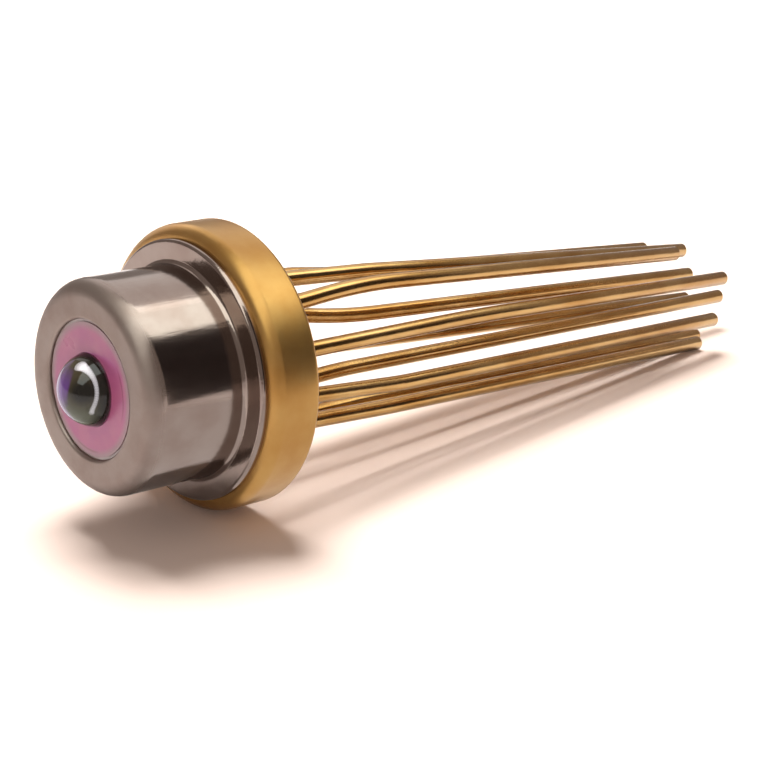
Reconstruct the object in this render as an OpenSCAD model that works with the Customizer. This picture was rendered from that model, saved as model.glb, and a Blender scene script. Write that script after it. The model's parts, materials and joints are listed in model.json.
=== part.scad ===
// Cooled laser diode in a 5.6 mm lens-cap can, ten leads, lying as it comes to rest.
// Units are millimetres. +Z is up, the lens looks towards -Y, the leads run towards +Y.
// The origin is the middle of the stem's flat rear face, on the optical axis.
// Every piece is drawn about the optical axis, from the stem's front plane (local +Z towards the
// lens), and laid down by place().

/* [Flange (stem)] */
// Outer diameter of the gold-plated stem disc
flange_d = 5.6; // [4:0.05:9.2]
// Thickness of the stem disc
flange_t = 1.05; // [0.6:0.05:2]
// Rounding of the front edge of the rim
rim_front_r = 0.26; // [0.05:0.01:0.4]
// Rounding of the rear edge of the rim
rim_rear_r = 0.1; // [0.02:0.01:0.3]

/* [Cap] */
// Outer diameter of the cap's straight wall
cap_d = 4.14; // [3:0.02:7]
// Height of the cap's front face above the stem
cap_h = 2.24; // [1.6:0.02:4]
// Sheet thickness of the cap
cap_wall = 0.17; // [0.1:0.01:0.3]
// Outer rounding between the wall and the front face
cap_edge_r = 0.35; // [0.15:0.01:0.6]
// Outer diameter of the weld lip
lip_d = 5.08; // [4:0.02:8]
// Thickness of the weld lip
lip_t = 0.14; // [0.08:0.01:0.3]
// Radius of the hollow curve from the wall out to the lip
lip_fillet_r = 0.2; // [0.05:0.01:0.3]
// Diameter of the round window in the front face
window_d = 2.66; // [1.2:0.02:4]
// Rolled-in rounding of the window's outer edge
window_edge_r = 0.07; // [0.01:0.01:0.1]

/* [Lens] */
// Depth of the flat glass ring below the cap's front face
lens_sink = 0.06; // [0.02:0.01:0.3]
// Width of the ring of sealing glass round the lens
seal_gap = 0.05; // [0.02:0.01:0.15]
// Diameter of the front dome where it leaves the flat ring
dome_d = 1.4; // [0.8:0.02:2.4]
// Height of the front dome
dome_h = 0.6; // [0.2:0.02:1]
// Width of the shoulder behind the cap's front face
shoulder_w = 0.28; // [0.1:0.02:0.4]
// Thickness of the shoulder
shoulder_t = 0.28; // [0.1:0.02:0.6]
// Diameter of the rear dome
rear_dome_d = 2.2; // [1:0.05:2.8]
// Height of the rear dome
rear_dome_h = 0.26; // [0.1:0.02:0.5]

/* [Leads] */
// Diameter of each lead
lead_d = 0.32; // [0.2:0.01:0.5]
// Diameter of the circle that the leads stand on
lead_circle_d = 3; // [2:0.05:5]
// Turn of the lead circle about the optical axis
lead_turn = 18; // [0:1:35]
// Height of the lead posts above the stem, inside the can
post_h = 0.46; // [0.1:0.02:0.8]
// Diameter of the glass bead round each insulated lead
bead_d = 0.66; // [0.4:0.02:1]
// Straight length behind the stem before a lead bends
stub_l = 0.6; // [0.2:0.05:1.5]
// Distance behind the stem of each lead's second bend
knee_at = 3.4; // [2.6:0.1:5]
// Radius of the first bend
bend_r = 1.2; // [0.5:0.1:3]
// Radius of the second bend
knee_r = 4; // [1:0.5:10]
// Share of its sideways offset that a lead loses by its tip
gather = 0.55; // [0:0.05:0.8]
// Swelling of the metal on its radius where a lead is bent
bend_swell = 0.004; // [0.002:0.001:0.01]
// Bevel left by the cut at each tip
tip_bevel = 0.04; // [0:0.01:0.1]

/* [Lead 1, right of the axis, bowed] */
// Rise (or drop, if negative) at the second bend
lead_1_knee = -0.15; // [-1:0.05:1]
// Rise or drop at the tip
lead_1_tip = -0.7; // [-1.5:0.05:1]
// Reach behind the stem
lead_1_len = 14; // [8:0.1:18]
// Distance behind the stem of this lead's bow
lead_1_knee_at = 5.5; // [3:0.1:8]
// Radius of the bow
lead_1_bow_r = 70; // [10:5:120]

/* [Lead 2] */
// Rise or drop at the second bend
lead_2_knee = 0.1; // [-1:0.05:1]
// Distance behind the stem of this lead's second bend
lead_2_knee_at = 2.6; // [2:0.1:5]
// Rise or drop at the tip
lead_2_tip = -0.7; // [-1.5:0.05:1]
// Reach behind the stem
lead_2_len = 12.5; // [8:0.1:18]

/* [Lead 3, top] */
// Rise or drop at the second bend
lead_3_knee = -0.18; // [-1:0.05:1]
// Rise or drop at the tip
lead_3_tip = -1.1; // [-1.5:0.05:1]
// Reach behind the stem
lead_3_len = 13.2; // [8:0.1:18]

/* [Lead 4, case lead] */
// Rise or drop at the second bend
lead_4_knee = -0.15; // [-1:0.05:1]
// Rise or drop at the tip
lead_4_tip = -0.75; // [-1.5:0.05:1]
// Reach behind the stem
lead_4_len = 12.3; // [8:0.1:18]
// Straight length behind the stem before this lead bends
lead_4_stub = 2.1; // [0.2:0.05:3]
// Depth of this lead's brazed socket in the back of the stem
lead_4_socket = 0.3; // [0.1:0.05:0.6]

/* [Lead 5] */
// Rise or drop at the second bend
lead_5_knee = -0.47; // [-1:0.05:1]
// Distance behind the stem of this lead's second bend
lead_5_knee_at = 3.2; // [2.6:0.1:5]
// Rise or drop at the tip
lead_5_tip = -0.95; // [-1.5:0.05:1]
// Reach behind the stem
lead_5_len = 14.3; // [8:0.1:18]
// Straight length behind the stem before this lead bends
lead_5_stub = 1.5; // [0.2:0.05:3]

/* [Lead 6] */
// Rise or drop at the second bend
lead_6_knee = -0.19; // [-1:0.05:1]
// Rise or drop at the tip
lead_6_tip = -0.75; // [-1.5:0.05:1]
// Reach behind the stem
lead_6_len = 14.6; // [8:0.1:18]
// Share of its sideways offset that this lead loses by its tip
lead_6_gather = 0.35; // [0:0.05:0.8]

/* [Lead 7] */
// Rise or drop at the second bend
lead_7_knee = 0.2; // [-1:0.05:1]
// Rise or drop at the tip
lead_7_tip = 0.1; // [-1.5:0.05:1]
// Reach behind the stem
lead_7_len = 15.2; // [8:0.1:18]

/* [Lead 8, bottom, touches the table] */
// Rise or drop at the second bend
lead_8_knee = 0.02; // [-1:0.05:1]
// Rise or drop at the tip
lead_8_tip = -0.3; // [-1.5:0.05:1]
// Reach behind the stem
lead_8_len = 14; // [8:0.1:18]

/* [Lead 9, touches the table] */
// Rise or drop at the second bend
lead_9_knee = -0.18; // [-1:0.05:1]
// Reach behind the stem
lead_9_len = 13.6; // [8:0.1:18]

/* [Lead 10] */
// Rise or drop at the second bend
lead_10_knee = -0.27; // [-1:0.05:1]
// Rise or drop at the tip
lead_10_tip = -0.75; // [-1.5:0.05:1]
// Reach behind the stem
lead_10_len = 13.8; // [8:0.1:18]

/* [Cooler and chips] */
// Cooler plate size across the axis, sideways
plate_x = 1.7; // [1:0.05:3]
// Cooler plate size across the axis, upwards
plate_y = 1.5; // [1:0.05:3]
// Thickness of each cooler plate
plate_t = 0.14; // [0.08:0.01:0.3]
// Height of the cooler's pellets
pellet_h = 0.26; // [0.15:0.01:0.6]
// Side of each pellet
pellet_w = 0.2; // [0.1:0.01:0.4]
// Pellets in each row
pellet_cols = 4; // [2:1:6]
// Rows of pellets
pellet_rows = 3; // [2:1:6]
// Height of the copper-tungsten block on the cold plate
block_h = 0.56; // [0.3:0.02:1]
// Width of the block
block_w = 0.76; // [0.4:0.02:1.4]
// Depth of the block
block_d = 0.4; // [0.2:0.02:0.8]
// Thickness of the ceramic submount
submount_t = 0.1; // [0.05:0.01:0.2]
// Width of the submount
submount_w = 0.5; // [0.3:0.02:1]
// Height of the submount
submount_h = 0.42; // [0.2:0.02:0.8]
// Width of the laser chip
chip_w = 0.2; // [0.1:0.01:0.4]
// Cavity length of the laser chip
chip_l = 0.3; // [0.2:0.01:0.6]
// Thickness of the laser chip
chip_t = 0.08; // [0.05:0.01:0.15]
// Side of the monitor photodiode
pd_w = 0.3; // [0.2:0.01:0.5]
// Thickness of the monitor photodiode
pd_t = 0.1; // [0.05:0.01:0.2]
// Diameter of the bond wires
wire_d = 0.03; // [0.02:0.005:0.06]

/* [Hidden] */
$fn = 72;
flange_r = flange_d / 2;
lead_r = lead_d / 2;
ring_r = lead_circle_d / 2;
cap_r = cap_d / 2;
cap_in_r = cap_r - cap_wall;
lip_r = lip_d / 2;
window_r = window_d / 2;
face_in_z = cap_h - cap_wall;
lens_r = window_r - seal_gap;
lens_z = cap_h - lens_sink;
shoulder_r = window_r + shoulder_w;
seal_t = seal_gap;
shoulder_top = face_in_z - seal_t;
shoulder_bottom = shoulder_top - shoulder_t;
dome_r = dome_d / 2;
dome_ball = (dome_r * dome_r + dome_h * dome_h) / (2 * dome_h);
rear_r = rear_dome_d / 2;
rear_ball = (rear_r * rear_r + rear_dome_h * rear_dome_h) / (2 * rear_dome_h);
cold_z = plate_t + pellet_h;
deck_z = cold_z + plate_t;
block_top = deck_z + block_h;
chip_face_y = chip_t / 2;
submount_y = chip_face_y - chip_t - submount_t;
block_y = submount_y - block_d;
chip_z = block_top - chip_l;
// low side of the bottom lead's tip, measured down from the optical axis
tip_low = ring_r - lead_8_tip + lead_r;
// lean of the optical axis once the rim and the bottom tips touch the table
lean = atan((flange_r - tip_low) / lead_8_len);
// lead 9 reaches the same table line
lead_9_angle = lead_turn + 8 * 36;
lead_9_low = flange_r - lead_9_len * tan(lean) - lead_r;
lead_9_tip = -lead_9_low - ring_r * sin(lead_9_angle);

gold = [0.80, 0.60, 0.28];
nickel = [0.55, 0.52, 0.50];

function unit(v) = v / norm(v);
function lead_angle(k) = lead_turn + (k - 1) * 36;
function on_ring(k) = [ring_r * cos(lead_angle(k)), ring_r * sin(lead_angle(k))];

// lays the optical axis down towards -Y with its small upward lean
module place() {
  rotate([90 - lean, 0, 0]) translate([0, 0, flange_t]) children();
}

// frame with +Y along u and +Z along n, moved to p
module along(p, u, n) {
  x = cross(u, n);
  multmatrix([[x[0], u[0], n[0], p[0]],
              [x[1], u[1], n[1], p[1]],
              [x[2], u[2], n[2], p[2]],
              [0, 0, 0, 1]]) children();
}

// straight round bar from a to b; n is any direction square to it
module bar(a, b, n, r) {
  along(a, unit(b - a), n) rotate([-90, 0, 0]) cylinder(r = r, h = norm(b - a));
}

// round bend of radius rb, from direction u to direction v, with its corner at c
module bend(c, u, v, n, rb, r) {
  turn = acos(u * v);
  along(c - u * rb * tan(turn / 2) + rb * cross(n, u), u, n)
    rotate_extrude(angle = turn) translate([rb, 0]) circle(r = r + bend_swell);
}

// length that a straight runs on inside a bend
function bite(turn, rb) = min(0.03, rb * turn * PI / 180 / 3);

// round bar along a line with two rounded bends: a, corners p and q, end b
module bent_bar(a, p, q, b, r1, r2, r, bevel) {
  u = unit(p - a);
  v = unit(q - p);
  w = unit(b - q);
  n1 = unit(cross(u, v));
  n2 = unit(cross(v, w));
  turn1 = acos(u * v);
  turn2 = acos(v * w);
  t1 = r1 * tan(turn1 / 2) - bite(turn1, r1);
  t2 = r2 * tan(turn2 / 2) - bite(turn2, r2);
  bar(a, p - u * t1, n1, r);
  bend(p, u, v, n1, r1, r);
  bar(p + v * t1, q - v * t2, n2, r);
  bend(q, v, w, n2, r2, r);
  bar(q + w * t2, b - w * bevel, n2, r);
  // end bevel starts inside the bar
  along(b - w * (bevel + 0.02), w, n2)
    rotate([-90, 0, 0]) cylinder(r1 = r - 0.005, r2 = r - bevel, h = bevel + 0.02);
}

// one lead: top is where it starts along the axis, then stub, knee and tip
module lead(k, top, knee, tip, len, kz, kr, g, stub = stub_l) {
  c = on_ring(k);
  slip = g * kz / len;
  color(gold)
    bent_bar([c[0], c[1], top],
             [c[0], c[1], -flange_t - stub],
             [c[0] * (1 - slip), c[1] + knee, -flange_t - kz],
             [c[0] * (1 - g), c[1] + tip, -flange_t - len],
             bend_r, kr, lead_r, tip_bevel);
}

module lead_1() place() lead(1, post_h, lead_1_knee, lead_1_tip, lead_1_len,
  lead_1_knee_at, lead_1_bow_r, gather);
module lead_2() place() lead(2, post_h, lead_2_knee, lead_2_tip, lead_2_len,
  lead_2_knee_at, knee_r, gather);
module lead_3() place() lead(3, post_h, lead_3_knee, lead_3_tip, lead_3_len,
  knee_at, knee_r, gather);
// the case lead is brazed into a shallow socket in the back of the stem and has no bead
module lead_4_case() place() lead(4, -flange_t + lead_4_socket, lead_4_knee, lead_4_tip,
  lead_4_len, knee_at, knee_r, gather, lead_4_stub);
module lead_5() place() lead(5, post_h, lead_5_knee, lead_5_tip, lead_5_len,
  lead_5_knee_at, knee_r, gather, lead_5_stub);
module lead_6() place() lead(6, post_h, lead_6_knee, lead_6_tip, lead_6_len,
  knee_at, knee_r, lead_6_gather);
module lead_7() place() lead(7, post_h, lead_7_knee, lead_7_tip, lead_7_len,
  knee_at, knee_r, gather);
module lead_8() place() lead(8, post_h, lead_8_knee, lead_8_tip, lead_8_len,
  knee_at, knee_r, gather);
module lead_9() place() lead(9, post_h, lead_9_knee, lead_9_tip, lead_9_len,
  knee_at, knee_r, gather);
module lead_10() place() lead(10, post_h, lead_10_knee, lead_10_tip, lead_10_len,
  knee_at, knee_r, gather);

// quarter-round removed from an outside corner at (r, z); sx, sz point out of the metal
module corner_cut(r, z, e, sx, sz) {
  translate([r, z]) difference() {
    translate([sx > 0 ? -e : -0.1, sz > 0 ? -e : -0.1]) square(e + 0.1);
    translate([-sx * e, -sz * e]) circle(r = e);
  }
}

module stem() {
  color(gold) place() difference() {
    rotate_extrude() difference() {
      translate([0, -flange_t]) square([flange_r, flange_t]);
      corner_cut(flange_r, 0, rim_front_r, 1, 1);
      corner_cut(flange_r, -flange_t, rim_rear_r, 1, -1);
    }
    for (k = [1, 2, 3, 5, 6, 7, 8, 9, 10])
      translate([on_ring(k)[0], on_ring(k)[1], -flange_t - 0.5])
        cylinder(d = bead_d, h = flange_t + 1);
    translate([on_ring(4)[0], on_ring(4)[1], -flange_t - 0.5])
      cylinder(r = lead_r, h = lead_4_socket + 0.5);
  }
}

// glass that seals and insulates one lead in its hole
module bead(k) {
  color([0.16, 0.17, 0.16]) place() difference() {
    translate([on_ring(k)[0], on_ring(k)[1], -flange_t])
      cylinder(d = bead_d, h = flange_t);
    translate([on_ring(k)[0], on_ring(k)[1], -flange_t - 0.5])
      cylinder(r = lead_r, h = flange_t + 1);
  }
}

// half section of the drawn cap, one sheet thickness from lip to window
module cap_section() {
  f = lip_fillet_r;
  e = cap_edge_r;
  i = e - cap_wall;
  difference() {
    union() {
      translate([cap_in_r, 0]) square([lip_r - cap_in_r, lip_t]);
      translate([cap_in_r, 0]) square([cap_wall, cap_h]);
      translate([window_r, face_in_z]) square([cap_r - window_r, cap_wall]);
      // inside corner stays one sheet thick round the bend
      translate([cap_in_r - i, face_in_z - i]) square(i + 0.01);
      // hollow curve out to the lip
      difference() {
        translate([cap_r - 0.01, lip_t - 0.01]) square(f + 0.01);
        translate([cap_r + f, lip_t + f]) circle(r = f);
      }
    }
    translate([cap_in_r - i, face_in_z - i]) circle(r = i);
    corner_cut(cap_r, cap_h, e, 1, 1);
    corner_cut(lip_r, lip_t, lip_t / 2, 1, 1);
    corner_cut(window_r, cap_h, window_edge_r, -1, 1);
  }
}

module cap() {
  color(nickel) place() rotate_extrude() cap_section();
}

// segment of a ball that stands on z0, r wide, h high, for the half section
module ball_segment(r, h, ball, z0, up) {
  intersection() {
    translate([0, z0 + up * (h - ball)]) circle(r = ball);
    translate([0, up > 0 ? z0 - 0.01 : z0 - h - 0.1]) square([r + 0.5, h + 0.11]);
  }
}

// moulded lens: window boss with a flat ring and dome, shoulder behind the face, rear dome
module lens() {
  color([0.75, 0.5, 0.7, 0.6]) place() rotate_extrude() union() {
    translate([0, shoulder_top - 0.01]) square([lens_r, lens_z - shoulder_top + 0.01]);
    translate([0, shoulder_bottom]) square([shoulder_r, shoulder_t]);
    ball_segment(dome_r, dome_h, dome_ball, lens_z, 1);
    ball_segment(rear_r, rear_dome_h, rear_ball, shoulder_bottom, -1);
  }
}

// fired sealing glass between the lens, the window's edge and the back of the face
module lens_seal() {
  color([0.12, 0.10, 0.10]) place() rotate_extrude() union() {
    translate([lens_r, shoulder_top]) square([shoulder_r - lens_r, seal_t]);
    translate([lens_r, shoulder_top]) square([seal_gap, lens_z - shoulder_top - seal_gap / 2]);
  }
}

// hot plate with the rows of pellets that stand on it
module cooler_hot_plate() {
  px = (plate_x - 0.1 - pellet_w) / (pellet_cols - 1);
  py = (plate_y - 0.1 - pellet_w) / (pellet_rows - 1);
  color([0.92, 0.91, 0.88]) place() union() {
    translate([-plate_x / 2, -plate_y / 2, 0]) cube([plate_x, plate_y, plate_t]);
    for (i = [0 : pellet_cols - 1])
      for (j = [0 : pellet_rows - 1])
        translate([-plate_x / 2 + 0.05 + i * px, -plate_y / 2 + 0.05 + j * py, plate_t - 0.02])
          cube([pellet_w, pellet_w, pellet_h + 0.02]);
  }
}

module cooler_cold_plate() {
  color([0.92, 0.91, 0.88]) place()
    translate([-plate_x / 2, -plate_y / 2, cold_z]) cube([plate_x, plate_y, plate_t]);
}

module heat_sink_block() {
  color(gold) place()
    translate([-block_w / 2, block_y, deck_z]) cube([block_w, block_d, block_h]);
}

module submount() {
  color([0.85, 0.84, 0.80]) place()
    translate([-submount_w / 2, submount_y, block_top - submount_h])
      cube([submount_w, submount_t, submount_h]);
}

module laser_chip() {
  color([0.30, 0.30, 0.34]) place()
    translate([-chip_w / 2, chip_face_y - chip_t, chip_z]) cube([chip_w, chip_t, chip_l]);
}

// below the chip's rear facet, on the cold plate
module monitor_photodiode() {
  color([0.18, 0.18, 0.26]) place()
    translate([-pd_w / 2, submount_y + 0.02, deck_z]) cube([pd_w, pd_w, pd_t]);
}

module thermistor() {
  color([0.25, 0.22, 0.20]) place()
    translate([plate_x / 2 - 0.3, plate_y / 2 - 0.26, deck_z]) cube([0.22, 0.16, 0.16]);
}

// one bond wire: a circular arc from a to b that rises s above the straight line
module wire(a, b, s, up) {
  w = norm(b - a);
  rad = (w * w / 4 + s * s) / (2 * s);
  half = asin(w / 2 / rad);
  u = unit(b - a);
  n = unit(cross(u, up));
  m = cross(n, u);
  mid = (a + b) / 2 + m * (s - rad);
  along(mid, m, n) rotate([0, 0, 90 - half])
    rotate_extrude(angle = 2 * half) translate([rad, 0]) circle(d = wire_d, $fn = 16);
}

// where the wire of post k lands
function pad(k) =
  k == 1 ? [plate_x / 2 - 0.19, plate_y / 2 - 0.18, deck_z + 0.16] :
  k == 2 ? [plate_x / 2 - 0.42, plate_y / 2 - 0.08, deck_z] :
  k == 3 ? [0, plate_y / 2 - 0.08, deck_z] :
  k == 5 ? [-plate_x / 2 + 0.08, 0.3, deck_z] :
  k == 6 ? [-plate_x / 2 + 0.08, -0.3, deck_z] :
  k == 7 ? [-block_w / 2 + 0.05, -plate_y / 2 + 0.08, deck_z] :
  k == 8 ? [0, -plate_y / 2 + 0.08, deck_z] :
  k == 9 ? [block_w / 2 - 0.05, -plate_y / 2 + 0.08, deck_z] :
  [plate_x / 2 - 0.08, -0.3, deck_z];

// gold wire from the top of post k to its pad
module bond_wire(k) {
  c = on_ring(k);
  color(gold) place() wire([c[0], c[1], post_h], pad(k), 0.16, [0, 0, 1]);
}

stem();
lead_1();
lead_2();
lead_3();
lead_4_case();
lead_5();
lead_6();
lead_7();
lead_8();
lead_9();
lead_10();
bead(1);  // glass_bead_1
bead(2);  // glass_bead_2
bead(3);  // glass_bead_3
bead(5);  // glass_bead_5
bead(6);  // glass_bead_6
bead(7);  // glass_bead_7
bead(8);  // glass_bead_8
bead(9);  // glass_bead_9
bead(10);  // glass_bead_10
cap();
lens();
lens_seal();
cooler_hot_plate();
cooler_cold_plate();
heat_sink_block();
submount();
laser_chip();
monitor_photodiode();
thermistor();
bond_wire(1);  // bond_wire_1
bond_wire(2);  // bond_wire_2
bond_wire(3);  // bond_wire_3
bond_wire(5);  // bond_wire_5
bond_wire(6);  // bond_wire_6
bond_wire(7);  // bond_wire_7
bond_wire(8);  // bond_wire_8
bond_wire(9);  // bond_wire_9
bond_wire(10);  // bond_wire_10
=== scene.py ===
"""Looks for a cooled laser diode in a lens-cap can, built around its packed CAD frame."""

import json
import math

import bmesh
import bpy
from bpy.props import (
    FloatProperty,
    FloatVectorProperty,
    IntProperty,
    PointerProperty,
)
from mathutils import Matrix, Vector

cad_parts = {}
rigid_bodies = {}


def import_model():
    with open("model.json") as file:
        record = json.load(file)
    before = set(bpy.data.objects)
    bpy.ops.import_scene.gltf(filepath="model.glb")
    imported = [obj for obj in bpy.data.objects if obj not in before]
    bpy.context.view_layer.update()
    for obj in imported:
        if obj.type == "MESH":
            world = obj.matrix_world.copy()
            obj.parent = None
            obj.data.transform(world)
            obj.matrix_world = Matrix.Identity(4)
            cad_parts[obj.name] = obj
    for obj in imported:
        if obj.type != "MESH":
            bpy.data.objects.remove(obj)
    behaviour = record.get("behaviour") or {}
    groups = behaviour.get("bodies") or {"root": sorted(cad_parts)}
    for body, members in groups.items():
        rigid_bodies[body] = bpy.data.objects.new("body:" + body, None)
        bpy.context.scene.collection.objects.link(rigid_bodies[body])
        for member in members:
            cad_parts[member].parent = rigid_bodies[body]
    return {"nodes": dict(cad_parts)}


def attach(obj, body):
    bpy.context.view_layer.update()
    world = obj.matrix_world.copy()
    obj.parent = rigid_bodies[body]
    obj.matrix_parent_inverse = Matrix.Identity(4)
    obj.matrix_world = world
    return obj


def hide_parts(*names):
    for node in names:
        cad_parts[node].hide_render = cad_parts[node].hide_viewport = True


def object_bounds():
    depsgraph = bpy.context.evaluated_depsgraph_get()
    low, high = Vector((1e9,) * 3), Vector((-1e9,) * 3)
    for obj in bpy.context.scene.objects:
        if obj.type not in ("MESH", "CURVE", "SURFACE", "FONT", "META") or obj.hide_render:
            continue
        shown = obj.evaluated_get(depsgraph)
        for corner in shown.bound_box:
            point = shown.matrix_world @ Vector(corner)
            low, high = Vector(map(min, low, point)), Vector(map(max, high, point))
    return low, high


bl_info = {
    "name": "Laser diode can",
    "version": (1, 0, 0),
    "blender": (4, 5, 0),
    "location": "View3D > Sidebar > Laser Diode",
    "description": "Builds the stem, cap, lens and leads of a small laser diode can",
    "category": "Object",
}

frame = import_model()
CAD_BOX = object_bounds()
BODY = "root"
MM = 0.001
FLOOR_GAP = 0.002 * MM

BEAD_LEADS = (1, 2, 3, 5, 6, 7, 8, 9, 10)
CASE_LEAD = 4
CAMERA_AT = tuple(v * MM for v in (30.984, -22.906, 13.961))
CAMERA_TURN = (math.radians(69.5), 0.0, math.radians(49.175))

# the stage
UP = Vector((0.0, 0.0, 1.0))
CAN_AT = Vector((0.0, -1.0, 0.0)) * MM
FLOOR_R = 0.6
FLOOR_LIFT = 0.02
# soft boxes: width and length, place, how bright a mirror shows them, and colour
SOFT_BOXES = {
    "top_strip": dict(
        size=(62, 278), at=(16, -26, 85), level=2.8, colour=(0.92, 1.0, 0.95)
    ),
    "gold_strip": dict(
        size=(90, 278), at=(39, -26, 85), level=2.0, colour=(0.93, 1.0, 0.90)
    ),
    "gold_near": dict(
        size=(10, 4.6), at=(9.3, 8.2, 10.8), level=1.5, colour=(0.93, 1.0, 0.90)
    ),
    "gold_side": dict(
        size=(60, 60), at=(-95, 10, 34), level=0.85, colour=(1.0, 0.96, 0.9)
    ),
    "key_soft": dict(
        size=(58, 58), at=(-34, 16, 100), level=18.5, colour=(1.0, 1.0, 1.0)
    ),
    "left_soft": dict(
        size=(150, 120), at=(-80, 60, 95), level=0.85, colour=(1.0, 1.0, 1.0)
    ),
}
# the small lamps that the dome alone shows
ARC_LAMPS = 25
VIOLET_LAMPS = 6
DOME_REACH = 2.4 * MM


# ---------------------------------------------------------------- sizes and colours


def length(name, text, value, low=0.0, high=0.05):
    return FloatProperty(
        name=name,
        description=text,
        default=value * MM,
        min=low,
        max=high,
        precision=5,
        unit="LENGTH",
    )


def tint(name, text, value):
    return FloatVectorProperty(
        name=name,
        description=text,
        default=value,
        size=3,
        min=0.0,
        max=1.0,
        subtype="COLOR",
    )


def share(name, text, value, low=0.0, high=1.0):
    return FloatProperty(
        name=name, description=text, default=value, min=low, max=high, subtype="FACTOR"
    )


class CanSizes(bpy.types.PropertyGroup):
    """Sizes of the stem and the cap, as in the CAD but for a tighter lip fillet"""

    flange_d: length("Flange diameter", "Outer diameter of the stem disc", 5.6)
    flange_t: length("Flange thickness", "Thickness of the stem disc", 1.05)
    rim_front_r: length("Front rim radius", "Rounding of the front edge", 0.26)
    rim_rear_r: length("Rear rim radius", "Rounding of the rear edge", 0.1)
    bead_d: length("Bead diameter", "Glass bead round each lead", 0.66)
    socket: length("Socket depth", "Depth of the case lead's socket", 0.3)
    cap_d: length("Cap diameter", "Outer diameter of the cap's wall", 4.14)
    cap_h: length("Cap height", "Cap's front face above the stem", 2.24)
    cap_wall: length("Sheet", "Sheet thickness of the cap", 0.17)
    cap_edge_r: length("Cap edge radius", "Rounding of the cap's front edge", 0.35)
    lip_d: length("Lip diameter", "Outer diameter of the weld lip", 5.08)
    lip_t: length("Lip thickness", "Thickness of the weld lip", 0.14)
    lip_fillet_r: length("Lip fillet", "Hollow curve from wall to lip", 0.1)
    window_d: length("Window", "Diameter of the round window", 2.66)
    window_edge_r: length("Window edge", "Rolled-in rounding of the window", 0.07)


class LensSizes(bpy.types.PropertyGroup):
    """Sizes of the moulded lens and its seal"""

    lens_sink: length("Sink", "Flat glass ring below the cap's face", 0.06)
    seal_gap: length("Seal width", "Ring of sealing glass", 0.05)
    dome_d: length("Dome diameter", "Front dome where it leaves the flat", 1.4)
    dome_h: length("Dome height", "Height of the front dome", 0.6)
    shoulder_w: length("Shoulder width", "Shoulder behind the face", 0.28)
    shoulder_t: length("Shoulder thickness", "Thickness of the shoulder", 0.28)
    rear_dome_d: length("Rear dome diameter", "Diameter of the rear dome", 2.2)
    rear_dome_h: length("Rear dome height", "Height of the rear dome", 0.26)


class LeadSizes(bpy.types.PropertyGroup):
    """Sizes that all ten leads share, with gentler bends than in the CAD"""

    lead_d: length("Lead diameter", "Diameter of each lead", 0.32)
    circle_d: length("Lead circle", "Circle that the leads stand on", 3.0)
    turn: FloatProperty(
        name="Turn",
        description="Turn of the lead circle about the optical axis",
        default=math.radians(18),
        subtype="ANGLE",
    )
    post_h: length("Post height", "Posts above the stem, inside the can", 0.46)
    stub: length("Stub", "Straight length behind the stem", 0.6)
    bend_r: length("First bend", "Radius of the first bend", 2.6)
    tip_bevel: length("Tip bevel", "Bevel left by the cut", 0.04)
    rings: IntProperty(
        name="Sides", description="Faces round each lead", default=28, min=8, max=64
    )


class Finishes(bpy.types.PropertyGroup):
    """Colours and gloss of each finish"""

    gold: tint("Gold", "Satin gold plating of the stem", (0.50, 0.285, 0.092))
    gold_deep: tint("Deep gold", "Thin or darker plating", (0.44, 0.225, 0.063))
    gold_rough: share("Gold roughness", "Roughness of the stem", 0.27)
    lead_gold: tint("Lead gold", "Gold plating on the leads", (0.56, 0.345, 0.135))
    lead_rough: share("Lead roughness", "Roughness of the leads", 0.16)
    nickel: tint("Nickel", "Satin nickel of the cap", (0.305, 0.245, 0.215))
    nickel_rough: share("Nickel roughness", "Roughness of the cap's wall", 0.10)
    face_rough: share("Face roughness", "Roughness of the cap's front face", 0.42)
    coating: tint("Coating", "Pink coating on the flat glass ring", (0.49, 0.122, 0.245))
    glass: tint("Glass", "Dark glass of the dome", (0.014, 0.0125, 0.0095))
    seal: tint("Seal", "Fired sealing glass", (0.50, 0.38, 0.37))
    # Grey band by the window edge, which stands in for a wider rounded window edge
    coating_rim_grey: tint("Coating edge", "Greyer end of the coating", (0.36, 0.21, 0.235))
    # Painted reflections: the next two tones stand for what the clear dome shows round its dark
    # pupil, olive above and greener below
    glass_reflection_side: tint("Dome, side", "Olive tone beside the pupil", (0.060, 0.048, 0.026))
    glass_reflection_low: tint("Dome, low", "Greener tone at the dome's foot", (0.085, 0.095, 0.060))
    bead: tint("Bead", "Dark compression-seal glass", (0.035, 0.05, 0.045))


class StageSettings(bpy.types.PropertyGroup):
    """Floor, lights and camera"""

    world_level: FloatProperty(
        name="World", description="Level of the plain world light", default=0.35
    )
    floor_tint: tint("Floor", "Colour that the floor throws back", (0.80, 0.765, 0.75))
    floor_seen: tint("Floor seen", "Warmer colour, for the camera alone", (0.98, 0.81, 0.71))
    world_tone: tint("World tone", "Warm white of the world light", (1.0, 0.87, 0.80))
    lens_mm: FloatProperty(
        name="Focal length", description="Camera lens on a 36 mm sensor", default=99.47
    )


SETTINGS = (
    ("can", CanSizes),
    ("glasswork", LensSizes),
    ("leads", LeadSizes),
    ("finish", Finishes),
    ("stage", StageSettings),
)

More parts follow.
